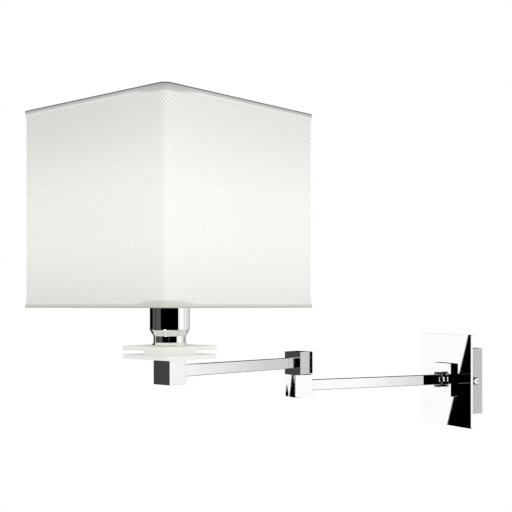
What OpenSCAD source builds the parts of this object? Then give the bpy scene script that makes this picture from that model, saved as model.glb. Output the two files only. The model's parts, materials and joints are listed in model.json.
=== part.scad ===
// Swing arm wall sconce: wall plate, two flat arms that swing on upright pivots,
// and a lampholder on frosted glass plates that carries a square fabric shade.
// Origin: centre of the wall face. The wall is the plane y = 0, the room lies towards -Y.

/* [Wall plate] */
// Width of the chrome front plate
plate_w = 108; // [96:1:140]
// Height of the chrome front plate
plate_h = 122; // [100:1:150]
// Thickness of the front plate
plate_t = 3; // [2:0.5:5]
// Width and height of the wall box behind the plate
box_w = 86; // [84:1:94]
// Depth of the wall box
box_d = 25; // [24:1:34]
// Width of the rosette that carries the wall pivot
rosette_w = 40; // [30:1:60]
// Height of the rosette
rosette_h = 44; // [36:1:60]
// Thickness of the rosette
rosette_t = 6; // [6:0.5:10]

/* [Arms] */
// Rear arm, from wall pivot to elbow pivot
rear_reach = 214; // [120:1:300]
// Front arm, from elbow pivot to lamp axis
front_reach = 220; // [180:1:300]
// Turn of the front arm about the elbow at rest
rest_turn = 21.4; // [-60:0.1:60]
// Height of both flat bars
bar_h = 13.2; // [12:0.2:16]
// Thickness of both flat bars
bar_t = 6; // [6:0.5:8]
// Width of the square joint blocks
block_w = 25; // [25:0.5:30]
// Height of the joint blocks
block_h = 27.7; // [26:0.1:32]
// Turn of the elbow from straight to either stop
elbow_stop = 135; // [90:1:140]

/* [Lamp head] */
// Width of the two frosted glass plates
glass_w = 72; // [50:1:90]
// Thickness of one glass plate
glass_t = 4.7; // [3:0.1:6]
// Width of the glass spacer between them
spacer_w = 40; // [30:1:46]
// Diameter of the lampholder cup at its top
cup_d = 42.8; // [42.8:0.1:46]
// Diameter of the lampholder cup at its foot
cup_foot_d = 34.9; // [30:0.1:40]

/* [Shade] */
// Width of the square shade over its fabric
shade_w = 220; // [160:1:280]
// Height of the shade
shade_h = 209.5; // [150:0.5:260]
// Radius of the shade's upright corners
shade_r = 7; // [6:0.5:20]
// Height of the fabric trims
trim_h = 7; // [6:0.5:12]
// Thickness of a trim over the fabric
trim_t = 1.7; // [1:0.1:3]

/* [Hidden] */
$fn = 64;
skin = 1;              // shade fabric on its lining
sheet = 1.5;           // steel sheet of box and bracket
gap = 0.6;             // between the two elbow blocks
thread_d = 10;         // hollow threaded tubes
thread_bore = 7;
nut_af = 15;           // across the flats of the tube nuts
nut_t = 4;
block_wall = 2.5;
block_roof = 4;        // wall that a threaded tube passes
cap_t = 2;
edge_r = 0.8;          // soft edges of blocks and bars
wire_d = 1.8;
wire_x = 0.95;         // half the spacing of the two wires
screw_d = 4;

plate_y = -box_d - plate_t;          // front face of the plate
rosette_y = plate_y - rosette_t;     // front face of the rosette
barrel_d = 10;
pin_d = 6.3;
pin_play = 0.05;
pivot_y = rosette_y - 5.8;           // wall pivot axis
lug_z = bar_h / 2 + 0.5;
lug_t = 2;
elbow_y = pivot_y - rear_reach;      // elbow pivot axis
inner_w = block_w - 2 * block_wall;

rear_z = -block_h / 2;               // underside of the rear elbow block
joint_z = block_h / 2;
front_z = joint_z + gap;             // underside of the front blocks
front_mid = front_z + block_h / 2;
front_top = front_z + block_h;
tube_top = front_z + block_roof + 6.5;
stop_r = 9.5;                        // circle of the elbow stop pin
stop_d = 2.4;
stop_arc = 2 * elbow_stop + 17;

lower_z = front_top;
spacer_z = lower_z + glass_t;
spacer_t = 4.6;
upper_z = spacer_z + spacer_t;
ring_z = upper_z + glass_t;
ring_t = 3.2;
cup_z = ring_z + ring_t;
cup_h = 39.2;
cup_top = cup_z + cup_h;
cup_wall = 1;
holder_r = 20.2;
holder_z = cup_z + 18.6;
holder_top = cup_top + 24;
shade_ring_t = 3;
carrier_z = cup_top + shade_ring_t;
carrier_t = 2;
ring_out = 26;

shade_z = cup_top - 1.6;
shade_top = shade_z + shade_h;
lip_t = 1;                           // trim folded over the fabric's edge
wire_frame = carrier_z - shade_z - lip_t;
frame_w = shade_w - 2 * skin - wire_frame;
trim_r = shade_r + trim_t;

bulb_z = cup_top - 10.6;             // tip of the bulb's contact
bulb_r = 30;
bulb_mid = bulb_z + 77;
neck_r = 13.8;
neck_z = bulb_z + 29;

terminal_z = 10;
terminal_y = -sheet - 14;
pole = 9.5;
hole_x = 30;
inlet_z = -20;
rosette_screw_z = 14;
side_screw_y = -box_d / 2;

chrome = [0.80, 0.81, 0.83];
satin = [0.72, 0.74, 0.73];
brass = [0.78, 0.64, 0.35];
frosted = [0.88, 0.90, 0.88];
cloth = [0.95, 0.94, 0.91];
nylon = [0.93, 0.93, 0.90];

// ---- shapes used by several pieces ----

// Upright prism with four round corners, standing on z = 0
module round_box(w, d, h, r) {
  linear_extrude(h) round_square(w, d, r);
}

module round_square(w, d, r) {
  square([w - 2 * r, d], center = true);
  square([w, d - 2 * r], center = true);
  for (x = [-1, 1], y = [-1, 1])
    translate([x * (w / 2 - r), y * (d / 2 - r)]) circle(r);
}

module ring(outer_r, inner_r, h) {
  difference() {
    cylinder(r = outer_r, h = h);
    translate([0, 0, -1]) cylinder(r = inner_r, h = h + 2);
  }
}

module hex_nut(h) {
  difference() {
    cylinder(d = nut_af / cos(30), h = h, $fn = 6);
    translate([0, 0, -1]) cylinder(d = thread_d, h = h + 2);
  }
}

// Flat bar along Y, from y0 down to y1, with play added on every side
module bar_prism(y0, y1, play = 0) {
  translate([0, y0, 0]) rotate([90, 0, 0])
    round_box(bar_t + 2 * play, bar_h + 2 * play, y0 - y1, edge_r);
}

module flat_bar(y0, y1) {
  difference() {
    bar_prism(y0, y1);
    bar_prism(y0 + 1, y1 - 1, -1);
  }
}

// Cylinder along Y, from y0 down to y1
module y_rod(d, y0, y1) {
  translate([0, y0, 0]) rotate([90, 0, 0]) cylinder(d = d, h = y0 - y1);
}

module rod(a, b, d) {
  v = b - a;
  translate(a) rotate([0, acos(v.z / norm(v)), atan2(v.y, v.x)]) cylinder(d = d, h = norm(v));
}

// Insulated wire through the given points, each run along one axis
module wire(path) {
  for (i = [1 : len(path) - 1]) rod(path[i - 1], path[i], wire_d);
  for (i = [1 : len(path) - 2]) translate(path[i]) sphere(d = wire_d);
}

// Screw standing on z = 0 with its head up, cross slot in the head
module cross_screw(d, length, head_d, head_t) {
  difference() {
    union() {
      translate([0, 0, -length]) cylinder(d = d, h = length);
      cylinder(d = head_d, h = head_t * 0.6);
      translate([0, 0, head_t * 0.6]) cylinder(d1 = head_d, d2 = head_d * 0.7, h = head_t * 0.4, $fn = 32);
    }
    for (a = [0, 90]) rotate(a)
      translate([-head_d * 0.32, -head_d * 0.07, head_t * 0.5])
        cube([head_d * 0.64, head_d * 0.14, head_t]);
  }
}

module place_elbow() {
  translate([0, elbow_y, 0]) children();
}

module place_front() {
  translate([0, elbow_y, 0]) rotate(rest_turn) children();
}

module place_lamp() {
  place_front() translate([0, -front_reach, 0]) children();
}

// ---- wall side, fixed ----

module wall_bracket() {
  color(satin) difference() {
    union() {
      translate([-40, -sheet, -40]) cube([80, sheet, 80]);
      for (s = [-1, 1])
        translate([s * (box_w / 2 - 1.5 * sheet) - sheet / 2, -18, -15]) cube([sheet, 18, 30]);
    }
    for (s = [-1, 1]) {
      translate([s * hole_x, 0, 0]) y_rod(5, 1, -sheet - 1);
      translate([s * box_w / 2, side_screw_y, 0]) rotate([0, 90, 0])
        cylinder(d = screw_d, h = 12, center = true);
    }
    translate([0, 0, inlet_z]) y_rod(20, 1, -sheet - 1);
    translate([-24, 0, -28]) y_rod(screw_d, 1, -sheet - 1);
  }
}

module cable_grommet() {
  color([0.12, 0.12, 0.12]) translate([0, 0, inlet_z]) difference() {
    union() {
      y_rod(20, 0, -sheet);
      y_rod(24, -sheet, -sheet - 2);
    }
    y_rod(12, 1, -sheet - 3);
  }
}

module terminal_block() {
  color(nylon) difference() {
    translate([-15, terminal_y, terminal_z]) cube([30, 14, 16]);
    for (p = [-1 : 1]) {
      translate([p * pole, terminal_y + 6, terminal_z - 1]) cylinder(d = 4, h = 7);
      translate([p * pole, terminal_y + 6, terminal_z + 10]) cylinder(d = 4, h = 7);
      for (z = [4, 12]) translate([p * pole, 0, terminal_z + z])
        y_rod(4.4, terminal_y + 3, terminal_y - 1);
    }
  }
}

module terminal_screws() {
  color(brass) for (p = [-1 : 1], z = [4, 12])
    translate([p * pole, terminal_y + 3, terminal_z + z]) rotate([90, 0, 0]) difference() {
      cylinder(d = 4, h = 2);
      translate([-2.5, -0.4, 1.2]) cube([5, 0.8, 2]);
    }
}

module earth_screw() {
  color(brass) translate([-24, -sheet, -28]) rotate([90, 0, 0])
    cross_screw(screw_d, sheet, 8, 3);
}

module wall_box() {
  inner = box_w - 2 * sheet;
  color(satin) difference() {
    translate([-box_w / 2, -box_d, -box_w / 2]) cube([box_w, box_d, box_w]);
    translate([-inner / 2, sheet - box_d, -inner / 2]) cube([inner, box_d, inner]);
    y_rod(9, 0, -box_d - 1);
    for (s = [-1, 1]) {
      translate([0, 0, s * rosette_screw_z]) y_rod(screw_d + 0.4, 0, -box_d - 1);
      translate([s * box_w / 2, side_screw_y, 0]) rotate([0, 90, 0])
        cylinder(d = screw_d + 0.4, h = 8, center = true);
    }
  }
}

module box_side_screws() {
  color(chrome) for (s = [-1, 1])
    translate([s * box_w / 2, side_screw_y, 0]) rotate([0, s * 90, 0])
      cross_screw(screw_d, 4.5, 10, 3.4);
}

module front_plate() {
  color(chrome) difference() {
    translate([0, -box_d, 0]) rotate([90, 0, 0]) round_box(plate_w, plate_h, plate_t, edge_r);
    y_rod(9, 0, plate_y - 1);
    for (s = [-1, 1])
      translate([0, 0, s * rosette_screw_z]) y_rod(screw_d + 0.4, 0, plate_y - 1);
  }
}

module wire_bush() {
  color([0.12, 0.12, 0.12]) difference() {
    union() {
      y_rod(9, sheet - box_d, plate_y);
      y_rod(12, sheet - box_d + 1.5, sheet - box_d);
    }
    y_rod(6, 0, plate_y - 1);
  }
}

module rosette() {
  lug_top = lug_z + lug_t;
  color(chrome) difference() {
    union() {
      translate([0, plate_y, 0]) rotate([90, 0, 0])
        round_box(rosette_w, rosette_h, rosette_t, edge_r);
      for (z = [lug_z, -lug_top]) {
        translate([-barrel_d / 2, pivot_y, z]) cube([barrel_d, rosette_y - pivot_y + 1, lug_t]);
        translate([0, pivot_y, z]) cylinder(d = barrel_d, h = lug_t);
      }
    }
    translate([0, pivot_y, -lug_top - 1]) cylinder(d = pin_d, h = 2 * lug_top + 2);
    y_rod(8, 0, rosette_y - 1);
    for (s = [-1, 1])
      translate([0, 0, s * rosette_screw_z]) y_rod(screw_d, 0, rosette_y + 1.5);
  }
}

module rosette_screws() {
  color(satin) for (s = [-1, 1])
    translate([0, sheet - box_d, s * rosette_screw_z]) rotate([-90, 0, 0])
      cross_screw(screw_d, sheet + plate_t + rosette_t - 2, 7, 2.5);
}

module wall_pivot_pins() {
  color(satin) for (s = [0, 1]) mirror([0, 0, s]) translate([0, pivot_y, 0]) {
    translate([0, 0, bar_h / 2 - 3]) cylinder(d = pin_d, h = lug_z + lug_t - bar_h / 2 + 3);
    translate([0, 0, lug_z + lug_t]) cylinder(d = 8.4, h = 1);
  }
}

module wall_pivot_washers() {
  color(nylon) for (s = [0, 1]) mirror([0, 0, s])
    translate([0, pivot_y, lug_z - 0.4]) ring(barrel_d / 2, pin_d / 2, 0.4);
}

module wall_wires() {
  color([0.10, 0.10, 0.10]) for (s = [-1, 1]) wire([
    [s * pole, terminal_y + 6, terminal_z + 4],
    [s * pole, terminal_y + 6, 0],
    [s * wire_x, terminal_y + 6, 0],
    [s * wire_x, rosette_y - 0.3, 0]
  ]);
}

// ---- rear arm, swings on the wall pivot ----

module rear_arm_bar() {
  color(chrome) difference() {
    flat_bar(pivot_y, elbow_y + inner_w / 2);
    translate([0, pivot_y, -bar_h]) cylinder(d = barrel_d, h = 2 * bar_h);
  }
}

// Hollow barrel: rings above and below run on the pins, the waist lets the wires turn
module wall_pivot_barrel() {
  waist = bar_h - 7;
  color(chrome) translate([0, pivot_y, -bar_h / 2]) difference() {
    cylinder(d = barrel_d, h = bar_h);
    translate([0, 0, -1]) cylinder(d = pin_d + 2 * pin_play, h = bar_h + 2);
    translate([-barrel_d, -1.5, 3.5]) cube([2 * barrel_d, barrel_d, waist]);
    translate([-2, -barrel_d, 3.5]) cube([4, barrel_d, waist]);
  }
}

// Square joint block on z = 0, open below; the threaded tube passes its roof
module joint_block(tube_d) {
  difference() {
    round_box(block_w, block_w, block_h, edge_r);
    translate([0, 0, -1]) round_box(inner_w, inner_w, block_h - block_roof + 1, edge_r);
    cylinder(d = tube_d, h = block_h + 1);
  }
}

module block_cap() {
  round_box(inner_w, inner_w, cap_t, edge_r);
}

module threaded_tube(z0, z1) {
  translate([0, 0, z0]) ring(thread_d / 2, thread_bore / 2, z1 - z0);
}

module rear_elbow_block() {
  color(chrome) place_elbow() difference() {
    translate([0, 0, rear_z]) joint_block(thread_d);
    bar_prism(block_w, 0);
    translate([0, -stop_r, joint_z - block_roof - 1]) cylinder(d = stop_d, h = block_roof + 2);
  }
}

module rear_elbow_cap() {
  color(chrome) place_elbow() translate([0, 0, rear_z]) block_cap();
}

module elbow_pivot_tube() {
  color(brass) place_elbow() threaded_tube(joint_z - block_roof - nut_t - 2, tube_top);
}

module elbow_lower_nut() {
  color(brass) place_elbow() translate([0, 0, joint_z - block_roof - nut_t]) hex_nut(nut_t);
}

module elbow_washer() {
  color(nylon) place_elbow() translate([0, 0, joint_z]) ring(7, thread_d / 2, gap - 0.05);
}

module elbow_thrust_washer() {
  color(nylon) place_elbow()
    translate([0, 0, front_z + block_roof + 0.05]) ring(8, thread_d / 2, 1);
}

module elbow_lock_nut() {
  color(brass) place_elbow()
    translate([0, 0, front_z + block_roof + 1.05]) hex_nut(nut_t);
}

module elbow_stop_pin() {
  color(satin) place_elbow() translate([0, -stop_r, joint_z - block_roof])
    cylinder(d = stop_d, h = block_roof + gap + 1.2);
}

module rear_arm_wires() {
  color([0.10, 0.10, 0.10]) for (s = [-1, 1]) wire([
    [s * wire_x, pivot_y, 0],
    [s * wire_x, elbow_y, 0],
    [s * wire_x, elbow_y, tube_top - 1]
  ]);
}

// ---- front arm with the lamp head, swings on the elbow ----

module front_elbow_block() {
  color(chrome) place_front() difference() {
    translate([0, 0, front_top]) mirror([0, 0, 1]) joint_block(thread_d + 2 * pin_play);
    translate([0, 0, front_mid]) bar_prism(0, -block_w);
    // curved groove for the stop pin
    translate([0, 0, front_z - 1]) rotate(-90 - stop_arc / 2)
      rotate_extrude(angle = stop_arc) translate([stop_r - 1.6, 0]) square([3.2, 2.8]);
  }
}

module front_elbow_cap() {
  color(chrome) place_front() translate([0, 0, front_top - cap_t]) block_cap();
}

module front_arm_bar() {
  color(chrome) place_front() translate([0, 0, front_mid])
    flat_bar(-inner_w / 2, inner_w / 2 - front_reach);
}

module lamp_block() {
  color(chrome) place_lamp() difference() {
    translate([0, 0, front_z]) joint_block(thread_d);
    translate([0, 0, front_mid]) bar_prism(block_w, 0);
  }
}

module lamp_block_cap() {
  color(chrome) place_lamp() translate([0, 0, front_z]) block_cap();
}

module lamp_nipple() {
  color(brass) place_lamp() threaded_tube(front_top - block_roof - nut_t - 2, cup_z + 8);
}

module nipple_nut() {
  color(brass) place_lamp() translate([0, 0, front_top - block_roof - nut_t]) hex_nut(nut_t);
}

module glass_square(w, t) {
  difference() {
    round_box(w, w, t, 1);
    translate([0, 0, -1]) cylinder(d = thread_d + 0.4, h = t + 2);
  }
}

module lower_glass() {
  color(frosted) place_lamp() translate([0, 0, lower_z]) glass_square(glass_w, glass_t);
}

module glass_spacer() {
  color(frosted) place_lamp() translate([0, 0, spacer_z]) glass_square(spacer_w, spacer_t);
}

module upper_glass() {
  color(frosted) place_lamp() translate([0, 0, upper_z]) glass_square(glass_w, glass_t);
}

module cup_base_ring() {
  color(chrome) place_lamp() translate([0, 0, ring_z])
    ring(cup_foot_d / 2 + 1.3, thread_d / 2 + 0.2, ring_t);
}

module lampholder_cup() {
  foot_r = cup_foot_d / 2;
  top_r = cup_d / 2;
  color(chrome) place_lamp() translate([0, 0, cup_z]) rotate_extrude() polygon([
    [thread_d / 2, 0], [foot_r, 0], [foot_r, 6], [foot_r + 0.9, 8], [top_r - 0.7, 13.4],
    [top_r, 15.2], [top_r, cup_h], [top_r - cup_wall, cup_h], [top_r - cup_wall, 15.8],
    [top_r - 1.9, 14], [foot_r - 0.4, 8.6], [foot_r - cup_wall, 6.6],
    [foot_r - cup_wall, 1.2], [thread_d / 2, 1.2]
  ]);
}

module cup_nut() {
  color(brass) place_lamp() translate([0, 0, cup_z + 1.2]) hex_nut(nut_t);
}

module holder_body() {
  color([0.10, 0.10, 0.10]) place_lamp() difference() {
    translate([0, 0, holder_z]) cylinder(r = holder_r, h = holder_top - holder_z);
    translate([0, 0, holder_z + 6]) cylinder(r = 15.4, h = holder_top);
    for (s = [-1, 1])
      translate([s * 9, 0, holder_z - 1]) cylinder(d = 3.4, h = 5);
  }
}

// Brass sleeve with the rounded ridges of a lamp thread
module screw_shell() {
  color(brass) place_lamp() translate([0, 0, holder_z + 6]) difference() {
    cylinder(r = 15.4, h = 26);
    translate([0, 0, 1]) cylinder(r = 14.2, h = 26);
    translate([0, 0, -1]) cylinder(r = 7, h = 3);
    for (z = [5 : 3.6 : 23])
      translate([0, 0, z]) rotate_extrude() translate([14.2, 0]) circle(0.7, $fn = 16);
  }
}

module centre_contact() {
  color(brass) place_lamp() translate([0, 0, holder_z + 6])
    cylinder(r = 4, h = bulb_z - holder_z - 6);
}

module shade_ring(z) {
  place_lamp() translate([0, 0, z]) difference() {
    ring(ring_out, holder_r, shade_ring_t);
    for (a = [0 : 15 : 345]) rotate(a) translate([ring_out + 0.6, 0, -1])
      cylinder(d = 2.4, h = shade_ring_t + 2, $fn = 16);
  }
}

module lower_shade_ring() {
  color([0.10, 0.10, 0.10]) shade_ring(cup_top);
}

module upper_shade_ring() {
  color([0.10, 0.10, 0.10]) shade_ring(carrier_z + carrier_t);
}

module shade_carrier() {
  arm = shade_w / 2 - skin - 0.5;
  color([0.92, 0.92, 0.90]) place_lamp() translate([0, 0, carrier_z]) difference() {
    union() {
      cylinder(r = ring_out + 2, h = carrier_t);
      for (a = [0 : 90 : 270]) rotate(a) translate([0, -3, 0]) cube([arm, 6, carrier_t]);
    }
    translate([0, 0, -1]) cylinder(r = holder_r + 0.3, h = carrier_t + 2);
  }
}

// Square loop of round wire with bent corners
module wire_square(w, r, d) {
  run = w / 2 - r;
  for (a = [0 : 90 : 270]) rotate(a) {
    translate([w / 2, -run, 0]) rotate([-90, 0, 0]) cylinder(d = d, h = 2 * run);
    translate([run, run, 0]) rotate_extrude(angle = 90) translate([r, 0]) circle(d = d);
  }
}

module bottom_frame() {
  color([0.92, 0.92, 0.90]) place_lamp()
    translate([0, 0, carrier_z - wire_frame / 2])
      wire_square(frame_w, shade_r - skin - wire_frame / 2, wire_frame);
}

module top_frame() {
  color([0.92, 0.92, 0.90]) place_lamp()
    translate([0, 0, shade_top - lip_t - wire_frame / 2])
      wire_square(frame_w, shade_r - skin - wire_frame / 2, wire_frame);
}

module shade_fabric() {
  color(cloth) place_lamp() translate([0, 0, shade_z + lip_t]) difference() {
    round_box(shade_w, shade_w, shade_h - 2 * lip_t, shade_r);
    translate([0, 0, -1])
      round_box(shade_w - 2 * skin, shade_w - 2 * skin, shade_h, shade_r - skin);
  }
}

// Band round the fabric with a lip folded over the edge at z = 0
module trim_band() {
  outer = shade_w + 2 * trim_t;
  inner = shade_w - 2 * skin;
  difference() {
    round_box(outer, outer, trim_h, trim_r);
    translate([0, 0, lip_t]) round_box(shade_w, shade_w, trim_h, shade_r);
    translate([0, 0, -1]) round_box(inner, inner, trim_h, shade_r - skin);
  }
}

module bottom_trim() {
  color(cloth) place_lamp() translate([0, 0, shade_z]) trim_band();
}

module top_trim() {
  color(cloth) place_lamp() translate([0, 0, shade_top]) mirror([0, 0, 1]) trim_band();
}

module bulb_cap() {
  color(brass) place_lamp() translate([0, 0, bulb_z]) {
    cylinder(r = 4, h = 3);
    translate([0, 0, 3]) cylinder(r1 = 6, r2 = 12.6, h = 2);
    translate([0, 0, 5]) cylinder(r = 12.6, h = 24);
    for (z = [8 : 3.6 : 24])
      translate([0, 0, z]) rotate_extrude() translate([12.6, 0]) circle(0.7, $fn = 16);
  }
}

// Outline of the bulb: a round head that runs into the neck
function bulb_outline(r, neck) = [
  for (a = [-52 : 6 : 86]) [r * cos(a), bulb_mid + r * sin(a)],
  [0, bulb_mid + r]
];

module bulb_glass() {
  color([0.97, 0.96, 0.92]) place_lamp() rotate_extrude() difference() {
    polygon(concat([[0, neck_z], [neck_r, neck_z], [neck_r, neck_z + 12]],
                   bulb_outline(bulb_r)));
    polygon(concat([[0, neck_z - 1], [neck_r - 1, neck_z - 1], [neck_r - 1, neck_z + 12]],
                   bulb_outline(bulb_r - 1)));
  }
}

module front_arm_wires() {
  color([0.10, 0.10, 0.10]) place_front() for (s = [-1, 1]) wire([
    [s * wire_x, 0, tube_top + 0.5],
    [s * wire_x, 0, front_mid],
    [s * wire_x, -front_reach, front_mid],
    [s * wire_x, -front_reach, cup_z + 10],
    [s * 9, -front_reach, cup_z + 10],
    [s * 9, -front_reach, holder_z + 3]
  ]);
}

wall_bracket();
cable_grommet();
terminal_block();
terminal_screws();
earth_screw();
wall_box();
box_side_screws();
front_plate();
wire_bush();
rosette();
rosette_screws();
wall_pivot_pins();
wall_pivot_washers();
wall_wires();
rear_arm_bar();
wall_pivot_barrel();
rear_elbow_block();
rear_elbow_cap();
elbow_pivot_tube();
elbow_lower_nut();
elbow_washer();
elbow_thrust_washer();
elbow_lock_nut();
elbow_stop_pin();
rear_arm_wires();
front_elbow_block();
front_elbow_cap();
front_arm_bar();
lamp_block();
lamp_block_cap();
lamp_nipple();
nipple_nut();
lower_glass();
glass_spacer();
upper_glass();
cup_base_ring();
lampholder_cup();
cup_nut();
holder_body();
screw_shell();
centre_contact();
lower_shade_ring();
upper_shade_ring();
shade_carrier();
bottom_frame();
top_frame();
shade_fabric();
bottom_trim();
top_trim();
bulb_cap();
bulb_glass();
front_arm_wires();
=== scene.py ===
# Swing arm wall sconce: studio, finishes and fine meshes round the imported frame.
import json
import math

import bmesh
import bpy
from mathutils import Matrix, Vector


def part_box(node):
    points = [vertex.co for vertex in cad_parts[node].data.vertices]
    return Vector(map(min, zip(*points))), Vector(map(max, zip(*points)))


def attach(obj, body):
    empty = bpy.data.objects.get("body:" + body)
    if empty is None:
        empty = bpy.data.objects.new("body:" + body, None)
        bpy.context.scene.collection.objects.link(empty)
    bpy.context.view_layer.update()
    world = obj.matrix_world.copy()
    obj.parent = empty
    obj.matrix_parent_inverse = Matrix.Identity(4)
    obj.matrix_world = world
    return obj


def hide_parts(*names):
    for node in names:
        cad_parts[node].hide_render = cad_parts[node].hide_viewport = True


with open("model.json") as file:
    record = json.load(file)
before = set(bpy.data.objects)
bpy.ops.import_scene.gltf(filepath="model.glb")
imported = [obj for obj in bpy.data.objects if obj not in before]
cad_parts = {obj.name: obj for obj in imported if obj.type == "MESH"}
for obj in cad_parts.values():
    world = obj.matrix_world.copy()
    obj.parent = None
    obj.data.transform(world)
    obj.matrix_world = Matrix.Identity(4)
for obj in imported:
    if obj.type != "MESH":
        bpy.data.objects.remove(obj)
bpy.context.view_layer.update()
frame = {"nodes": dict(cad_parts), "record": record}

scene = bpy.context.scene
scene.view_settings.view_transform = "Standard"  # studio whites stay white
nodes = frame["nodes"]
mm = 0.001


def middle(name):
    low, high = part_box(name)
    return (Vector(low) + Vector(high)) / 2


elbowAxis = middle("elbow_pivot_tube")
lampAxis = middle("lamp_nipple")
armTurn = math.atan2(lampAxis.x - elbowAxis.x, elbowAxis.y - lampAxis.y)
lampPlace = Matrix.Translation((lampAxis.x, lampAxis.y, 0)) @ Matrix.Rotation(armTurn, 4, "Z")


# the camera
cameraSetup = {
    "bearing": 63.0,      # degrees to the left of the wall's normal
    "distance": 1.078,    # to the lamp's axis, along the line of sight
    "aside": 0.093,       # the lamp stands this far left of the line of sight
    "height": 0.0999,     # above the middle of the wall plate
    "lens": 70.3,
    "film": 36,           # width in mm
    "nearest": 0.01,
    "rise": 0.0955,       # upward shift, so that upright edges stay upright
}


def placeCamera(setup):
    turn = math.radians(setup["bearing"])
    forward = Vector((-math.sin(turn), math.cos(turn), 0))
    right = Vector((forward.y, -forward.x, 0))
    data = bpy.data.cameras.new("camera")
    data.lens = setup["lens"]
    data.sensor_width = setup["film"]
    data.shift_y = setup["rise"]
    data.clip_start = setup["nearest"]
    camera = bpy.data.objects.new("camera", data)
    spot = Vector((lampAxis.x, lampAxis.y, 0)) - forward * setup["distance"] + right * setup["aside"]
    camera.location = (spot.x, spot.y, setup["height"])
    camera.rotation_euler = (math.radians(90), 0, turn)
    scene.collection.objects.link(camera)
    scene.camera = camera


placeCamera(cameraSetup)
print("camera placed")


# small tools
def hexColour(text):
    values = [int(text[i:i + 2], 16) / 255 for i in (1, 3, 5)]
    linear = [v / 12.92 if v <= 0.04045 else ((v + 0.055) / 1.055) ** 2.4 for v in values]
    return (*linear, 1.0)


def grey(value):
    return (value, value, value, 1)


def addNode(tree, kind, settings=None, links=None):
    # a setting is a property or an input's value; a link starts at a socket or a node's first output
    node = tree.nodes.new(kind)
    for key, value in (settings or {}).items():
        if isinstance(key, str) and hasattr(node, key):
            setattr(node, key, value)
        else:
            node.inputs[key].default_value = value
    for key, source in (links or {}).items():
        start = source.outputs[0] if isinstance(source, bpy.types.Node) else source
        tree.links.new(start, node.inputs[key])
    return node


def newMaterial(name, settings):
    material = bpy.data.materials.new(name)
    material.use_nodes = True
    tree = material.node_tree
    tree.nodes.clear()
    surface = addNode(tree, "ShaderNodeBsdfPrincipled", settings)
    addNode(tree, "ShaderNodeOutputMaterial", None, {"Surface": surface})
    return material, tree, surface


def objectNoise(tree, size, detail=3.0, stretch=(1, 1, 1)):
    place = addNode(tree, "ShaderNodeTexCoord")
    turn = addNode(tree, "ShaderNodeMapping", {"Scale": stretch}, {"Vector": place.outputs["Object"]})
    return addNode(tree, "ShaderNodeTexNoise", {"Scale": 1 / size, "Detail": detail}, {"Vector": turn})


noiseSpan = {"From Min": 0.3, "From Max": 0.7}   # where nearly all values of a noise lie


def applyPattern(tree, surface, pattern, tones=None, rough=None, relief=None):
    # one pattern moves the surface between two tones or two roughnesses, or raises it;
    # relief is a depth and a share of it
    if tones:
        dark, light = (hexColour(tone) for tone in tones)
        tone = addNode(tree, "ShaderNodeMix", {"data_type": "RGBA", 6: dark, 7: light}, {0: pattern})
        tree.links.new(tone.outputs[2], surface.inputs["Base Color"])
    if rough:
        sheen = addNode(tree, "ShaderNodeMapRange", {**noiseSpan, "To Min": rough[0], "To Max": rough[1]},
                        {"Value": pattern})
        tree.links.new(sheen.outputs[0], surface.inputs["Roughness"])
    if relief:
        bump = addNode(tree, "ShaderNodeBump", {"Distance": relief[0], "Strength": relief[1]},
                       {"Height": pattern})
        tree.links.new(bump.outputs[0], surface.inputs["Normal"])


# finishes
def polishedChrome():
    # brass plated with chrome and buffed: a mirror with a faint buffing wave and hairlines
    material, tree, surface = newMaterial("polished chrome plate", {"Metallic": 1.0})
    haze = objectNoise(tree, 18 * mm)
    applyPattern(tree, surface, haze, tones=("#FEFEFE", "#F6F8F7"))
    hairs = objectNoise(tree, 1.2 * mm, 4.0, (1, 1, 0.06))
    applyPattern(tree, surface, hairs, rough=(0.004, 0.014))
    wave = objectNoise(tree, 26 * mm, 1.0)
    applyPattern(tree, surface, wave, relief=(0.008 * mm, 0.3))
    return material


def satinNickel():
    # sheet steel, brushed and nickel plated: soft grey with fine upright grain
    material, tree, surface = newMaterial("satin nickel plate", {"Metallic": 1.0})
    grain = objectNoise(tree, 0.5 * mm, 3.0, (1, 1, 0.04))
    applyPattern(tree, surface, grain, ("#E7EAE8", "#F2F4F2"), (0.38, 0.52), (0.01 * mm, 1.0))
    return material


def zincSteel():
    # rolled steel, zinc plated: dull bluish grey with a cloudy spangle
    material, tree, surface = newMaterial("zinc plated steel", {"Metallic": 1.0})
    applyPattern(tree, surface, objectNoise(tree, 5 * mm, 5.0), ("#A4A9AC", "#C2C6C8"), (0.3, 0.45))
    return material


def turnedBrass():
    # bar brass, turned: warm yellow with fine tool rings
    material, tree, surface = newMaterial("turned brass", {"Metallic": 1.0})
    rings = objectNoise(tree, 0.4 * mm, 2.0, (0.1, 0.1, 1))
    applyPattern(tree, surface, rings, ("#B8924C", "#D6B36C"), (0.18, 0.32), (0.01 * mm, 1.0))
    return material


def etchedGlass(name, paintedGlow):
    # float glass, acid etched all over: milky, with a silky grain, and a painted glow as emission that lifts
    # it out of its shade
    material, tree, surface = newMaterial(name, {
        "IOR": 1.52, "Transmission Weight": 0.12, "Roughness": 0.42, "Subsurface Weight": 0.8,
        "Subsurface Radius": (1, 1, 1), "Subsurface Scale": 12 * mm,
        "Emission Color": hexColour("#F7F6EE"), "Emission Strength": paintedGlow})
    etch = objectNoise(tree, 0.6 * mm, 4.0)
    applyPattern(tree, surface, etch, tones=("#F2F3F0", "#FAFBF9"), relief=(0.015 * mm, 1.0))
    return material


def opalBulb():
    # blown glass, powder coated inside: soft white that glows warm
    material, tree, surface = newMaterial("opal blown glass", {
        "IOR": 1.5, "Roughness": 0.3, "Emission Strength": 2.2, "Emission Color": hexColour("#FFEFD2")})
    applyPattern(tree, surface, objectNoise(tree, 14 * mm), tones=("#F7F3EA", "#FFFDF7"))
    return material


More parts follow.
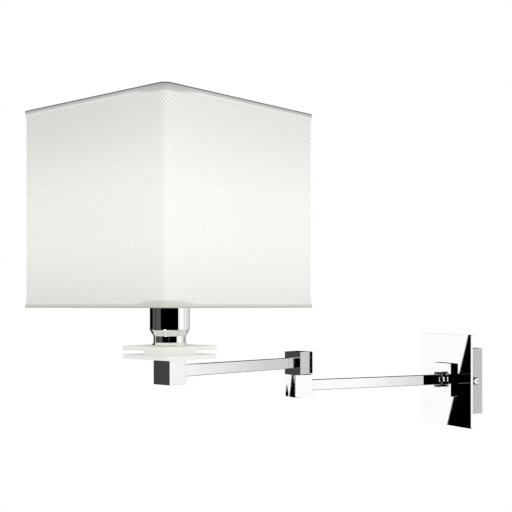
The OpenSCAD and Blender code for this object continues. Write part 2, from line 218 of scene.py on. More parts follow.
def mouldedPlastic(name, dark, light, rough, grainSize):
    # injection moulded: even colour with a fine spark texture
    material, tree, surface = newMaterial(name, {"IOR": 1.5, "Roughness": rough})
    grain = objectNoise(tree, grainSize)
    applyPattern(tree, surface, grain, tones=(dark, light), relief=(0.03 * mm, 0.5))
    return material


def whiteEnamel():
    # steel wire and sheet, powder coated: white with slight orange peel
    material, tree, surface = newMaterial("white powder coat", {
        "IOR": 1.5, "Roughness": 0.35, "Coat Weight": 0.3, "Coat Roughness": 0.2})
    peel = objectNoise(tree, 1.5 * mm, 1.0)
    applyPattern(tree, surface, peel, tones=("#E9E9E6", "#F4F4F1"), relief=(0.02 * mm, 1.0))
    return material


clothSetup = {
    "pitch": 2.15 * mm,       # one thread of the plain weave
    "relief": 0.15 * mm,      # how far a crossing stands out
    "dark": "#CFCFCB",
    "light": "#F8F8F5",
    "backlitTone": "#E8E8E5",      # painted light: where the bulb shines through, the threads are evened out to this one tone
    "backlitShare": 0.75,
    "slub": 0.25,             # share of thick and thin threads in the tone
    "uprightSlub": (2 * mm, 22 * mm),   # width and height of a thick piece of thread
    "levelSlub": (30 * mm, 2 * mm),
    "toneSpan": (-0.9, 1.4),  # pattern values that get the dark and the light tone
    "bump": (0.1 * mm, 0.6),
    "glowHeight": 185 * mm,   # level of the bulb's head above the middle of the wall plate
    "glow": 0.13,
    "glowNear": 15 * mm,      # full glow this far above and below it
    "glowFar": 115 * mm,
}


def stretchedNoise(tree, place, wide, tall):
    turn = addNode(tree, "ShaderNodeMapping", {"Scale": (1 / wide, 1 / tall, 1)}, {"Vector": place})
    return addNode(tree, "ShaderNodeTexNoise", {"Scale": 1.0, "Detail": 2.0}, {"Vector": turn})


def weavePattern(tree, setup):
    # a checkerboard of thread crossings, with slubs along both sets of threads
    place = addNode(tree, "ShaderNodeUVMap", {"uv_map": "weave"})
    parts = addNode(tree, "ShaderNodeSeparateXYZ", None, {"Vector": place})
    waves = []
    for axis in ("X", "Y"):
        turns = addNode(tree, "ShaderNodeMath", {"operation": "MULTIPLY", 1: math.pi / setup["pitch"]},
                        {0: parts.outputs[axis]})
        waves.append(addNode(tree, "ShaderNodeMath", {"operation": "SINE"}, {0: turns}))
    crossing = addNode(tree, "ShaderNodeMath", {"operation": "MULTIPLY"}, {0: waves[0], 1: waves[1]})
    upright = stretchedNoise(tree, place, *setup["uprightSlub"])
    level = stretchedNoise(tree, place, *setup["levelSlub"])
    slubs = addNode(tree, "ShaderNodeMath", {"operation": "ADD"}, {0: upright, 1: level})
    share = addNode(tree, "ShaderNodeMath", {"operation": "MULTIPLY", 1: setup["slub"]}, {0: slubs})
    return addNode(tree, "ShaderNodeMath", {"operation": "ADD"}, {0: crossing, 1: share})


def paintedBulbGlow(tree, setup):
    # painted glow of the bulb shining through the cloth, as emission: strongest at the level of the bulb's
    # head, and none far above and below it
    spot = addNode(tree, "ShaderNodeTexCoord")
    level = addNode(tree, "ShaderNodeSeparateXYZ", None, {"Vector": spot.outputs["Object"]})
    above = addNode(tree, "ShaderNodeMath", {"operation": "SUBTRACT", 1: setup["glowHeight"]},
                    {0: level.outputs["Z"]})
    away = addNode(tree, "ShaderNodeMath", {"operation": "ABSOLUTE"}, {0: above})
    return addNode(tree, "ShaderNodeMapRange", {
        "interpolation_type": "SMOOTHSTEP", "From Min": setup["glowNear"], "From Max": setup["glowFar"],
        "To Min": setup["glow"], "To Max": 0.0}, {"Value": away})


def wovenCloth(setup):
    # cotton, plain woven and laminated to a film: matt, with slubs, and a painted glow where the bulb lights
    # it from behind
    material, tree, surface = newMaterial("plain woven shade cloth", {
        "Roughness": 0.9, "Sheen Weight": 0.2, "Sheen Roughness": 0.5, "IOR": 1.45,
        "Specular IOR Level": 0.2, "Emission Color": hexColour("#FFF9EE")})
    weave = weavePattern(tree, setup)
    applyPattern(tree, surface, weave, relief=setup["bump"])
    glow = paintedBulbGlow(tree, setup)
    tree.links.new(glow.outputs[0], surface.inputs["Emission Strength"])
    lowest, highest = setup["toneSpan"]
    shade = addNode(tree, "ShaderNodeMapRange", {"From Min": lowest, "From Max": highest}, {"Value": weave})
    threads = addNode(tree, "ShaderNodeMix", {
        "data_type": "RGBA", 6: hexColour(setup["dark"]), 7: hexColour(setup["light"])}, {0: shade})
    # painted light: the brighter the painted glow, the more the threads turn to the one backlit tone
    even = addNode(tree, "ShaderNodeMath", {"operation": "MULTIPLY", 1: setup["backlitShare"] / setup["glow"]},
                   {0: glow})
    tone = addNode(tree, "ShaderNodeMix", {"data_type": "RGBA", 7: hexColour(setup["backlitTone"])},
                   {0: even, 6: threads.outputs[2]})
    tree.links.new(tone.outputs[2], surface.inputs["Base Color"])
    return material


# painted shade on the cloth bands: grey along their edges, more at one corner, with a dark painted shadow
# line at the edge
bandSetup = {
    "fold": 4.4 * mm,         # painted shade along the edge, where the doubled cloth lets less of the bulb's light through
    "cornerShade": 6.0 * mm,   # more painted shade towards one corner
    "cornerReach": 50 * mm,
    # share of the painted shade from the edge inwards, and its tone
    "topShadeTones": [(0.0, "#9A9A97"), (0.35, "#B8B8B5"), (0.85, "#CDCDC9"), (1.0, "#E8E8E5")],
    "bottomShadeTones": [(0.0, "#CBCAC3"), (0.6, "#D3D2CC"), (0.9, "#DFDED9"), (1.0, "#EAE9E5")],
    "edgeShadow": 1.4 * mm,         # painted shadow line where the band turns over the edge
    "edgeShadowSharp": 0.6,         # share of the shadow line that has its full tone
    "topEdgeShadow": "#4E4E4C",
    "bottomEdgeShadow": "#B4B3AC",
}


def clothBand(name, setup, tones, edgeShadowTone):
    # cotton tape glued over the shade's edge: smooth, with painted shade that greys it along the edge and
    # more towards one corner, and a painted shadow line at the edge
    material, tree, surface = newMaterial(name, {
        "Roughness": 0.85, "Sheen Weight": 0.2, "Sheen Roughness": 0.5, "IOR": 1.45,
        "Specular IOR Level": 0.2})
    place = addNode(tree, "ShaderNodeUVMap", {"uv_map": "weave"})
    parts = addNode(tree, "ShaderNodeSeparateXYZ", None, {"Vector": place})
    shadeDepth = addNode(tree, "ShaderNodeMapRange", {
        "interpolation_type": "SMOOTHSTEP", "From Max": setup["cornerReach"],
        "To Min": setup["fold"] + setup["cornerShade"], "To Max": setup["fold"]},
        {"Value": parts.outputs["X"]})
    share = addNode(tree, "ShaderNodeMath", {"operation": "DIVIDE"}, {0: parts.outputs["Y"], 1: shadeDepth})
    ramp = addNode(tree, "ShaderNodeValToRGB", None, {"Fac": share})
    stops = ramp.color_ramp.elements
    while len(stops) < len(tones):
        stops.new(0.5)
    for stop, (at, tone) in zip(stops, tones):
        stop.position = at
        stop.color = hexColour(tone)
    line = addNode(tree, "ShaderNodeMapRange", {
        "From Min": setup["edgeShadowSharp"] * setup["edgeShadow"], "From Max": setup["edgeShadow"],
        "To Min": 1.0, "To Max": 0.0}, {"Value": parts.outputs["Y"]})
    edgeShadow = addNode(tree, "ShaderNodeMix", {"data_type": "RGBA", 7: hexColour(edgeShadowTone)},
                   {0: line, 6: ramp})
    tree.links.new(edgeShadow.outputs[2], surface.inputs["Base Color"])
    applyPattern(tree, surface, objectNoise(tree, 0.5 * mm, 2.0), relief=(0.03 * mm, 0.5))
    return material


finishes = {
    "chrome": polishedChrome(),
    "satin_steel": satinNickel(),
    "zinc_steel": zincSteel(),
    "brass": turnedBrass(),
    "frosted_glass": etchedGlass("acid etched float glass", 0.07),
    "bulb_glass": opalBulb(),
    "nylon": mouldedPlastic("natural nylon", "#E3E1D6", "#EFEDE4", 0.45, 0.8 * mm),
    "black_rubber": mouldedPlastic("moulded rubber", "#161616", "#242424", 0.7, 1.0 * mm),
    "black_plastic": mouldedPlastic("black thermoset plastic", "#101010", "#1B1B1B", 0.35, 0.7 * mm),
    "wire_insulation": mouldedPlastic("wire insulation", "#121212", "#1D1D1D", 0.4, 1.0 * mm),
    "white_enamel": whiteEnamel(),
    "shade_fabric": wovenCloth(clothSetup),
    "trim_fabric": clothBand("cotton tape, folded", bandSetup, bandSetup["topShadeTones"], bandSetup["topEdgeShadow"]),
}
# the spacer sits in the shade between the plates, so it gets a stronger painted glow
spacerGlassPaintedGlow = etchedGlass("acid etched glass between plates", 0.24)
shadedBottomTape = clothBand("cotton tape, lower edge", bandSetup, bandSetup["bottomShadeTones"],
                       bandSetup["bottomEdgeShadow"])
slotOf = {part["node"]: part["material_slot"] for part in frame["record"]["subparts"]}
bodyOf = {name: body for body, names in frame["record"]["behaviour"]["bodies"].items() for name in names}


def paint(obj, slotName):
    obj.data.materials.clear()
    obj.data.materials.append(finishes[slotName])


for name, obj in nodes.items():
    paint(obj, slotOf[name])
print("finishes made:", len(finishes))


# meshes that take over from CAD nodes
def finishPiece(obj, name):
    paint(obj, slotOf[name])
    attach(obj, bodyOf[name])
    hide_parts(name)
    return obj


def newObject(name, mesh):
    obj = bpy.data.objects.new(name, mesh)
    scene.collection.objects.link(obj)
    return obj


def baked(obj):
    # swaps the object's mesh for what its modifiers make of it
    graph = bpy.context.evaluated_depsgraph_get()
    mesh = bpy.data.meshes.new_from_object(obj.evaluated_get(graph))
    obj.modifiers.clear()
    obj.data = mesh
    return obj


def tidied(shape):
    # merges points that coincide, then turns the faces outwards
    coincide = 0.0001 * mm
    bmesh.ops.remove_doubles(shape, verts=shape.verts, dist=coincide)
    bmesh.ops.recalc_face_normals(shape, faces=shape.faces)


edgeSetup = {
    "width": 0.35 * mm,      # broken edge of the plated parts
    "glassWidth": 0.5 * mm,
    "segments": 3,
    "shortest": 3 * mm,      # edges of bores are shorter, and stay sharp
    "turn": math.radians(50),    # least angle between the faces at a rounded edge
    "flat": math.radians(0.5),   # faces that turn by less than this are joined first
    "weld": 0.001 * mm,
    "narrow": 0.8 * mm,      # a wider face is a flat, and stays one
    "clamped": ("front_plate", "rosette"),   # thin sheets, where the rounds would meet each other
}


def softEdged(name, width):
    mesh = nodes[name].data.copy()
    shape = bmesh.new()
    shape.from_mesh(mesh)
    bmesh.ops.remove_doubles(shape, verts=shape.verts, dist=edgeSetup["weld"])
    bmesh.ops.dissolve_limit(shape, angle_limit=edgeSetup["flat"], verts=shape.verts, edges=shape.edges)
    chosen = shape.edges.layers.float.new("bevel_weight_edge")
    for edge in shape.edges:
        if edge.calc_length() > edgeSetup["shortest"] and edge.calc_face_angle(0) > edgeSetup["turn"]:
            edge[chosen] = 1
    shape.to_mesh(mesh)
    shape.free()
    obj = newObject(name + "_soft", mesh)
    bevel = obj.modifiers.new("edge", "BEVEL")
    bevel.width = width
    bevel.segments = edgeSetup["segments"]
    bevel.limit_method = "WEIGHT"
    bevel.use_clamp_overlap = name in edgeSetup["clamped"]
    baked(obj)
    points = obj.data.vertices
    for face in obj.data.polygons:
        around = sum((points[a].co - points[b].co).length for a, b in face.edge_keys)
        face.use_smooth = 2 * face.area / around < edgeSetup["narrow"]
    return finishPiece(obj, name)


for name in ("front_plate", "rosette", "rear_elbow_block", "rear_elbow_cap", "front_elbow_block",
             "front_elbow_cap", "lamp_block", "lamp_block_cap", "wall_box"):
    softEdged(name, edgeSetup["width"])
for name in ("lower_glass", "glass_spacer", "upper_glass"):
    glass = softEdged(name, edgeSetup["glassWidth"])
    if name == "glass_spacer":
        glass.data.materials[0] = spacerGlassPaintedGlow
print("edges broken")


def lathe(name, outline, steps=128):
    # closed outline of (radius, height) points, turned about the lamp's axis
    mesh = bpy.data.meshes.new(name)
    shape = bmesh.new()
    loops = []
    for i in range(steps):
        angle = 2 * math.pi * i / steps
        loops.append([shape.verts.new(lampPlace @ Vector((r * math.cos(angle), r * math.sin(angle), z)))
                      for r, z in outline])
    count = len(outline)
    for i in range(steps):
        here, there = loops[i], loops[(i + 1) % steps]
        for j in range(count):
            k = (j + 1) % count
            shape.faces.new((here[j], there[j], there[k], here[k]))
    tidied(shape)
    shape.to_mesh(mesh)
    shape.free()
    mesh.shade_smooth()
    return newObject(name, mesh)


def roundedOutline(corners, steps=6):
    # corners are (radius, height, rounding); a point just before and after each round keeps
    # the long runs straight under smooth shading
    guard = 0.08 * mm
    outline = []
    for i, (*point, rounding) in enumerate(corners):
        here = Vector(point)
        if not rounding:
            outline.append(tuple(here))
            continue
        back = (Vector(corners[i - 1][:2]) - here).normalized()
        on = (Vector(corners[(i + 1) % len(corners)][:2]) - here).normalized()
        half = back.angle(on) / 2
        reach = rounding / math.tan(half)
        centre = here + (back + on).normalized() * rounding / math.sin(half)
        first = here + back * reach - centre
        last = here + on * reach - centre
        turn = first.angle_signed(last)
        outline.append(tuple(here + back * (reach + guard)))
        for j in range(steps + 1):
            a = turn * j / steps
            outline.append((centre.x + first.x * math.cos(a) + first.y * math.sin(a),
                            centre.y - first.x * math.sin(a) + first.y * math.cos(a)))
        outline.append(tuple(here + on * (reach + guard)))
    return outline


cupSetup = {
    "bore": 5 * mm,
    "wall": 1 * mm,
    "footRadius": 17.45 * mm,            # the narrow lower part of the cup
    "cone": (7.2 * mm, 13.8 * mm),       # where the cone to the wide part starts and ends, above the foot
    "innerCone": (7.8 * mm, 14.2 * mm),
    "ringBore": 5.2 * mm,
    "ringEdge": 0.7 * mm,                # upright edge of the ring under the cup, below its slope
    "ringStep": 0.1 * mm,                # the slope ends this far outside the cup
}


def buildCup(setup):
    low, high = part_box("lampholder_cup")
    foot, top = low[2], high[2]
    bore, wall, footR = setup["bore"], setup["wall"], setup["footRadius"]
    topR = (high[0] - low[0]) / 2
    coneLow, coneHigh = (foot + rise for rise in setup["cone"])
    innerLow, innerHigh = (foot + rise for rise in setup["innerCone"])
    corners = [(bore, foot, 0), (footR, foot, 0.4 * mm), (footR, coneLow, 1.2 * mm),
               (topR, coneHigh, 2.2 * mm), (topR, top, 0.3 * mm), (topR - wall, top, 0.3 * mm),
               (topR - wall, innerHigh, 1.6 * mm), (footR - wall, innerLow, 1.6 * mm),
               (footR - wall, foot + wall, 0.6 * mm), (bore, foot + wall, 0)]
    finishPiece(lathe("lampholder_cup_spun", roundedOutline(corners)), "lampholder_cup")


def buildCupRing(setup):
    low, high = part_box("cup_base_ring")
    bore, under, over = setup["ringBore"], low[2], high[2]
    outR = (high[0] - low[0]) / 2
    corners = [(bore, under, 0), (outR, under, 0.2 * mm), (outR, under + setup["ringEdge"], 0.2 * mm),
               (setup["footRadius"] + setup["ringStep"], over, 0.3 * mm), (bore, over, 0)]
    finishPiece(lathe("cup_base_ring_spun", roundedOutline(corners)), "cup_base_ring")


buildCup(cupSetup)
buildCupRing(cupSetup)


bulbSetup = {
    "neck": 13.8 * mm,       # radius of the glass where its cap starts
    "neckHeight": 6 * mm,
    "skin": 1 * mm,
    "roundEnds": -36,        # degrees below the level of the head's centre
    "headSteps": 30,
    "waistSteps": 12,
}


def buildBulb(setup):
    low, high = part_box("bulb_glass")
    headR = (high[0] - low[0]) / 2
    headZ = high[2] - headR
    neckZ = low[2] + setup["neckHeight"]

    def side(radius, neck):
        # round head running down into the neck through a smooth waist
        head = []
        for i in range(setup["headSteps"] + 1):
            angle = math.radians(90 + (setup["roundEnds"] - 90) * i / setup["headSteps"])
            head.append((radius * math.cos(angle), headZ + radius * math.sin(angle)))
        joinR, joinZ = head[-1]
        waist = []
        for i in range(1, setup["waistSteps"] + 1):
            t = i / setup["waistSteps"]
            ease = t * t * (3 - 2 * t)
            waist.append((joinR + (neck - joinR) * ease, joinZ + (neckZ - joinZ) * t))
        return head + waist + [(neck, low[2])]

    skin, neck = setup["skin"], setup["neck"]
    outline = side(headR, neck) + side(headR - skin, neck - skin)[::-1]
    finishPiece(lathe("bulb_glass_blown", outline, 64), "bulb_glass")


buildBulb(bulbSetup)
print("turned parts made")


def startTree(name, sockets):
    tree = bpy.data.node_groups.new(name, "GeometryNodeTree")
    tree.is_modifier = True
    for socket, kind in sockets.items():
        tree.interface.new_socket(socket, in_out="INPUT", socket_type="NodeSocket" + kind)
    tree.interface.new_socket("Geometry", in_out="OUTPUT", socket_type="NodeSocketGeometry")
    return tree, addNode(tree, "NodeGroupInput").outputs


def endTree(tree, shape, material):
    real = addNode(tree, "GeometryNodeRealizeInstances", None, {"Geometry": shape})
    painted = addNode(tree, "GeometryNodeSetMaterial", None, {"Geometry": real, "Material": material})
    addNode(tree, "NodeGroupOutput", None, {"Geometry": painted})
    return tree


def runTree(name, tree, values):
    obj = newObject(name, bpy.data.meshes.new(name))
    modifier = obj.modifiers.new("rule", "NODES")
    modifier.node_group = tree
    for socket in tree.interface.items_tree:
        if socket.in_out == "INPUT":
            modifier[socket.identifier] = values[socket.name]
    return baked(obj)


def ribTree():
    # round ribs standing in a ring, for a knurled head
    tree, given = startTree("knurl", {
        "Ring radius": "Float", "Rib radius": "Float", "Rib length": "Float", "Rib sides": "Int",
        "Count": "Int", "Metal": "Material"})
    ring = addNode(tree, "GeometryNodeMeshCircle", None,
                   {"Vertices": given["Count"], "Radius": given["Ring radius"]})
    rib = addNode(tree, "GeometryNodeMeshCylinder", None, {
        "Vertices": given["Rib sides"], "Radius": given["Rib radius"], "Depth": given["Rib length"]})
    placed = addNode(tree, "GeometryNodeInstanceOnPoints", None, {"Points": ring, "Instance": rib})
    return endTree(tree, placed, given["Metal"])


knurlSetup = {
    "count": 30,
    "rib": 0.42 * mm,
    "sides": 10,
    "length": 1.8 * mm,
    "from": 1.05 * mm,     # middle of the ribs, outwards from the wall box
}


def buildKnurl(setup):
    # both side screws of the wall box get ribs round their heads
    low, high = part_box("box_side_screws")
    headR = (high[2] - low[2]) / 2
    sunk = setup["rib"] / 3   # the axis of a rib lies this far inside the head
    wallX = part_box("wall_box")[1][0]
    ribs = ribTree()
    for label, side in (("right", 1), ("left", -1)):
        obj = runTree("side_screw_ribs_" + label, ribs, {
            "Ring radius": headR - sunk, "Rib radius": setup["rib"], "Rib length": setup["length"],
            "Rib sides": setup["sides"], "Count": setup["count"], "Metal": finishes["chrome"]})
        spot = Vector((side * (wallX + setup["from"]), (low[1] + high[1]) / 2, (low[2] + high[2]) / 2))
        obj.data.transform(Matrix.Translation(spot) @ Matrix.Rotation(math.pi / 2, 4, "Y"))
        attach(obj, bodyOf["box_side_screws"])


buildKnurl(knurlSetup)
print("knurls made")


# the shade
def squareLength(width, radius):
    return 4 * (width - 2 * radius + math.pi * radius / 2)


def squarePath(width, radius, count):
    # points and outward normals along a square with round corners
    straight = width - 2 * radius
    side = squareLength(width, radius) / 4
    out = []
    for i in range(count):
        run = 4 * side * i / count
        edge, rest = int(run // side), run % side
        if rest < straight:
            spot = Vector((width / 2, -straight / 2 + rest))
            normal = Vector((1, 0))
        else:
            angle = (rest - straight) / radius
            normal = Vector((math.cos(angle), math.sin(angle)))
            spot = Vector((straight / 2, straight / 2)) + normal * radius
        turn = Matrix.Rotation(edge * math.pi / 2, 2)
        out.append((turn @ spot, turn @ normal))
    return out


def ownSize(name):
    # width of a node that is square about the lamp's axis
    back = lampPlace.inverted()
    xs = [(back @ v.co).x for v in nodes[name].data.vertices]
    return max(xs) - min(xs)


shadeSetup = {
    "corner": 7 * mm,
    "cornerSteps": 12,
    "step": 2 * mm,       # along the straight runs of a band
    "skin": 1 * mm,
    "trim": 1.7 * mm,     # band over the cloth, at the shade's edge
    "foot": 0.5 * mm,     # the same where the band ends on the cloth
    "fold": 0.7 * mm,
    "foldSteps": 6,
}


def buildShadeCloth():
    # a skin whose outer face rises and falls with the weave, and whose inner face is flat
    low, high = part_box("shade_fabric")
    height = high[2] - low[2]
    width = ownSize("shade_fabric") - 2 * clothSetup["relief"]
    around = squareLength(width, shadeSetup["corner"])
    columns = 2 * round(around / clothSetup["pitch"] / 2)   # even, so that the weave closes
    rows = round(height / clothSetup["pitch"])
    path = squarePath(width, shadeSetup["corner"], columns)
    mesh = bpy.data.meshes.new("shade_cloth")
    shape = bmesh.new()
    weave = shape.loops.layers.uv.new("weave")
    loops = []
    for j in range(rows + 1):
        z = low[2] + height * j / rows
        ring = []
        for i, (spot, normal) in enumerate(path):
            lift = clothSetup["relief"] * (1 if (i + j) % 2 else -1)
            at = spot + normal * lift
            ring.append(shape.verts.new(lampPlace @ Vector((at.x, at.y, z))))
        loops.append(ring)
    for z in (high[2], low[2]):
        loops.append([shape.verts.new(lampPlace @ Vector((*(spot - normal * shadeSetup["skin"]), z)))
                      for spot, normal in path])
    inner = rows + 1   # number of the loop where the inner face starts
    scale = around / columns
    for j, ring in enumerate(loops):
        above = loops[(j + 1) % len(loops)]
        for i in range(columns):
            k = (i + 1) % columns
            face = shape.faces.new((ring[i], ring[k], above[k], above[i]))
            face.smooth = j != inner
            for loop, u, v in zip(face.loops, (i, i + 1, i + 1, i), (j, j, j + 1, j + 1)):
                loop[weave].uv = ((u + 0.5) * scale, (v + 0.5) * scale)
    for edge in shape.edges:
        edge.smooth = len({face.smooth for face in edge.link_faces}) == 1
    bmesh.ops.recalc_face_normals(shape, faces=shape.faces)
    shape.to_mesh(mesh)
    shape.free()
    return finishPiece(newObject("shade_cloth", mesh), "shade_fabric"), (around, height)


def trimTree():
    # a cloth band swept round a square with round corners
    tree, given = startTree("cloth band", {
        "Width": "Float", "Corner": "Float", "Corner steps": "Int", "Step": "Float",
        "Band height": "Float", "Edge thickness": "Float", "Foot thickness": "Float",
        "Fold": "Float", "Fold steps": "Int", "Cloth": "Material"})
    square = addNode(tree, "GeometryNodeCurvePrimitiveQuadrilateral", None,
                     {"Width": given["Width"], "Height": given["Width"]})
    path = addNode(tree, "GeometryNodeFilletCurve", {"mode": "POLY"}, {
        "Curve": square, "Radius": given["Corner"], "Count": given["Corner steps"]})
    fine = addNode(tree, "GeometryNodeResampleCurve", {"mode": "LENGTH"},
                   {"Curve": path, "Length": given["Step"]})
    top, bottom = (addNode(tree, "ShaderNodeMath", {"operation": "MULTIPLY", 1: share},
                           {0: given["Band height"]}) for share in (0.5, -0.5))
    section = addNode(tree, "GeometryNodeCurvePrimitiveQuadrilateral", {"mode": "POINTS"})
    corners = ({"Y": top}, {"X": given["Edge thickness"], "Y": top},
               {"X": given["Foot thickness"], "Y": bottom}, {"Y": bottom})
    for number, corner in enumerate(corners, 1):
        point = addNode(tree, "ShaderNodeCombineXYZ", None, corner)
        tree.links.new(point.outputs[0], section.inputs["Point %d" % number])
    profile = addNode(tree, "GeometryNodeFilletCurve", {"mode": "POLY"}, {
        "Curve": section, "Radius": given["Fold"], "Count": given["Fold steps"]})
    swept = addNode(tree, "GeometryNodeCurveToMesh", None, {"Curve": fine, "Profile Curve": profile})
    return endTree(tree, swept, given["Cloth"])


def buildTrim(name, node, tree, atTop):
    low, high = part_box(node)
    outer = ownSize(node)
    thick = shadeSetup["trim"] + shadeSetup["skin"]
    edgeZ = high[2] if atTop else low[2]
    obj = runTree(name, tree, {
        "Width": outer - 2 * thick, "Corner": shadeSetup["corner"] + shadeSetup["trim"] - thick,
        "Corner steps": shadeSetup["cornerSteps"], "Step": shadeSetup["step"],
        "Band height": high[2] - low[2], "Edge thickness": thick,
        "Foot thickness": shadeSetup["skin"] + shadeSetup["foot"],
        "Fold": shadeSetup["fold"], "Fold steps": shadeSetup["foldSteps"],
        "Cloth": finishes["trim_fabric"]})
    mesh = obj.data
    flip = Matrix.Scale(-1 if atTop else 1, 4, (0, 0, 1))
    mesh.transform(lampPlace @ Matrix.Translation((0, 0, (low[2] + high[2]) / 2)) @ flip)
    shape = bmesh.new()
    shape.from_mesh(mesh)
    tidied(shape)
    weave = shape.loops.layers.uv.new("weave")
    back = lampPlace.inverted()
    for face in shape.faces:
        for loop in face.loops:
            at = back @ loop.vert.co
            fromShadedCorner = outer / 2 - min(at.x, -at.y)   # distance from the one corner where the painted shade reaches furthest in
            loop[weave].uv = (fromShadedCorner, abs(at.z - edgeZ))
    shape.to_mesh(mesh)
    shape.free()
    mesh.shade_smooth()
    return finishPiece(obj, node)


cloth, clothSize = buildShadeCloth()
bandTree = trimTree()
topBand = buildTrim("top_trim_band", "top_trim", bandTree, True)
bottomBand = buildTrim("bottom_trim_band", "bottom_trim", bandTree, False)
# the lower band gets its own tones of painted shade
bottomBand.data.materials[0] = shadedBottomTape
print("shade made")


# the studio
studioSetup = {
    "soft": 0.86,          # white seen by matt surfaces
    "flagHeight": 0.35,    # sine of the height where the upright flags end
    "flagFade": 0.1,
    "above": 0.03,         # what polished parts see over them
    "below": 0.15,
    "slant": 0.232,        # lean of the plate's card, radians aside for each unit of height
    "cardTop": -0.0275,    # height where the low cards end
    # dark feet of light stands: bearing, then height and half width in degrees, low and high
    "stands": [(-150.9, (-0.092, 0.19), (-0.069, 0.05)), (-151.225, (-0.088, 0.085), (-0.078, 0.0))],
    "sparkAt": (0.57, -0.73, -0.37),   # direction of a small bare lamp
    "sparkSize": 0.9945,   # cosine of its half width
    "sparkFade": 0.0005,
    "sparkPower": 15.0,
    "softboxAim": 0.15,    # height on the lamp's axis that the softboxes face
    # place, size and power
    "softboxes": {
        "right_softbox": ((1.5, 0.6, 0.7), (0.9, 0.9), 4.0),
        "near_softbox": ((0.62, -0.72, 0.22), (0.3, 0.3), 0.3),
    },
}
# what polished parts see round the horizon: (bearing in degrees, brightness)
surroundings = [(-138.6, 0.0), (-138.2, 0.088), (-118.5, 0.088), (-117.5, 0.055), (-105.5, 0.055),
                (-104.5, 0.088), (-76, 0.088), (-75, 0.0), (28.9, 0.0), (29.3, 1.0), (33, 1.0), (36.2, 0.74),
                (37.8, 0.8), (38.5, 1.0), (62, 1.0), (66, 0.92), (70.3, 0.66), (72.84, 0.59), (72.88, 0.0),
                (73.05, 0.0), (73.1, 0.95), (84, 0.8), (130, 0.6), (136, 0.5), (137.5, 0.0)]
# low cards, seen by the joint blocks, the plate and the end of the rear arm
blockCard = [(-153.2, 0.0), (-152.9, 1.0), (-150.1, 1.0), (-149.8, 0.0)]
plateCard = [(-145.1, 0.0), (-144.8, 1.0), (-140.66, 1.0), (-140.6, 0.0)]
armCard = [(-29.15, 0.0), (-29.12, 0.62), (-28.78, 0.62), (-28.75, 0.0)]


def bandedLight(tree, bearing, bands):
    # brightness that changes in straight steps between the bearings of the list
    bright = None
    for (start, first), (end, second) in zip(bands, bands[1:]):
        if first == second:
            continue
        change = addNode(tree, "ShaderNodeMapRange", {
            "From Min": math.radians(start), "From Max": math.radians(end),
            "To Min": 0.0, "To Max": second - first}, {"Value": bearing})
        if bright is not None:
            change = addNode(tree, "ShaderNodeMath", {"operation": "ADD"}, {0: bright, 1: change})
        bright = change
    return bright


def standGap(tree, bearing, height, stand):
    # 1 beside a stand's foot, 0 on it
    at, (lowZ, lowHalf), (highZ, highHalf) = stand
    aside = addNode(tree, "ShaderNodeMath", {"operation": "SUBTRACT", 1: math.radians(at)}, {0: bearing})
    apart = addNode(tree, "ShaderNodeMath", {"operation": "ABSOLUTE"}, {0: aside})
    half = addNode(tree, "ShaderNodeMapRange", {
        "From Min": lowZ, "From Max": highZ,
        "To Min": math.radians(lowHalf), "To Max": math.radians(highHalf)}, {"Value": height})
    return addNode(tree, "ShaderNodeMath", {"operation": "GREATER_THAN"}, {0: apart, 1: half})


def horizonLight(tree, parts, setup):
    # the surroundings, and the low cards with the feet of light stands before them
    height = parts.outputs["Z"]
    bearing = addNode(tree, "ShaderNodeMath", {"operation": "ARCTAN2"},
                      {0: parts.outputs["Y"], 1: parts.outputs["X"]})
    lean = addNode(tree, "ShaderNodeMath", {"operation": "MULTIPLY", 1: -setup["slant"]}, {0: height})
    leaning = addNode(tree, "ShaderNodeMath", {"operation": "ADD"}, {0: bearing, 1: lean})
    cards = bandedLight(tree, bearing, blockCard)
    for angle, card in ((leaning, plateCard), (bearing, armCard)):
        cards = addNode(tree, "ShaderNodeMath", {"operation": "ADD"},
                        {0: cards, 1: bandedLight(tree, angle, card)})
    for stand in setup["stands"]:
        cards = addNode(tree, "ShaderNodeMath", {"operation": "MULTIPLY"},
                        {0: cards, 1: standGap(tree, bearing, height, stand)})
    low = addNode(tree, "ShaderNodeMath", {"operation": "LESS_THAN", 1: setup["cardTop"]}, {0: height})
    return addNode(tree, "ShaderNodeMath", {"operation": "MULTIPLY_ADD"},
                   {0: cards, 1: low, 2: bandedLight(tree, bearing, surroundings)})


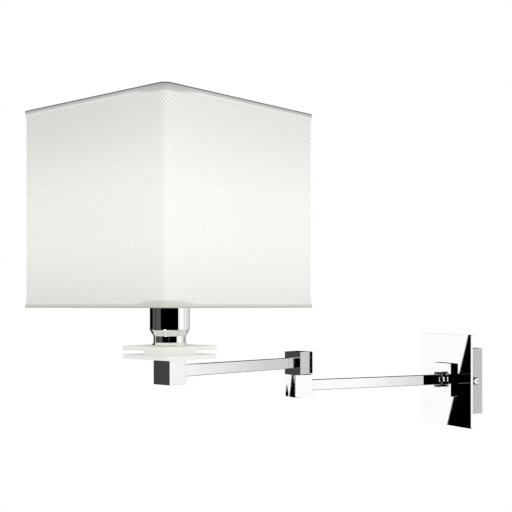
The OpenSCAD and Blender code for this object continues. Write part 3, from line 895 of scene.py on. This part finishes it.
def mirroredRoom(tree, direction, setup):
    # what polished parts see: the horizon, one tone over it, one under it, and a small bare lamp
    parts = addNode(tree, "ShaderNodeSeparateXYZ", None, {"Vector": direction})
    seen = horizonLight(tree, parts, setup)
    edge, fade = setup["flagHeight"], setup["flagFade"]
    over = addNode(tree, "ShaderNodeMapRange", {"From Min": edge, "From Max": edge + fade},
                   {"Value": parts.outputs["Z"]})
    under = addNode(tree, "ShaderNodeMapRange", {
        "From Min": -edge - fade, "From Max": -edge, "To Min": 1.0, "To Max": 0.0},
        {"Value": parts.outputs["Z"]})
    towards = addNode(tree, "ShaderNodeVectorMath", {
        "operation": "DOT_PRODUCT", 1: Vector(setup["sparkAt"]).normalized()}, {0: direction})
    spark = addNode(tree, "ShaderNodeMapRange", {
        "From Min": setup["sparkSize"], "From Max": setup["sparkSize"] + setup["sparkFade"]},
        {"Value": towards.outputs["Value"]})
    for share, tone in ((over, "above"), (under, "below"), (spark, "sparkPower")):
        seen = addNode(tree, "ShaderNodeMix", {"data_type": "RGBA", 7: grey(setup[tone])},
                       {0: share, 6: seen}).outputs[2]
    return seen


def buildWorld(setup):
    # a lit room in mirrors, an even light on matt surfaces, and white behind the object
    world = bpy.data.worlds.new("studio")
    scene.world = world
    world.use_nodes = True
    tree = world.node_tree
    tree.nodes.clear()
    direction = addNode(tree, "ShaderNodeTexCoord").outputs["Generated"]
    room = mirroredRoom(tree, direction, setup)
    rays = addNode(tree, "ShaderNodeLightPath")
    soft = addNode(tree, "ShaderNodeMix", {"data_type": "RGBA", 6: grey(setup["soft"])},
                   {0: rays.outputs["Is Glossy Ray"], 7: room})
    backdrop = addNode(tree, "ShaderNodeMix", {"data_type": "RGBA", 7: grey(1)},
                       {0: rays.outputs["Is Camera Ray"], 6: soft.outputs[2]})
    light = addNode(tree, "ShaderNodeBackground", None, {"Color": backdrop.outputs[2]})
    addNode(tree, "ShaderNodeOutputWorld", None, {"Surface": light})


def addSoftbox(name, at, size, power):
    data = bpy.data.lights.new(name, "AREA")
    data.shape = "RECTANGLE"
    data.size, data.size_y = size
    data.energy = power
    light = bpy.data.objects.new(name, data)
    light.location = at
    aim = Vector((lampAxis.x, lampAxis.y, studioSetup["softboxAim"])) - Vector(at)
    light.rotation_euler = aim.to_track_quat("-Z", "Y").to_euler()
    light.visible_glossy = False
    light.visible_camera = False
    scene.collection.objects.link(light)


buildWorld(studioSetup)
for name, box in studioSetup["softboxes"].items():
    addSoftbox(name, *box)
print("studio built")
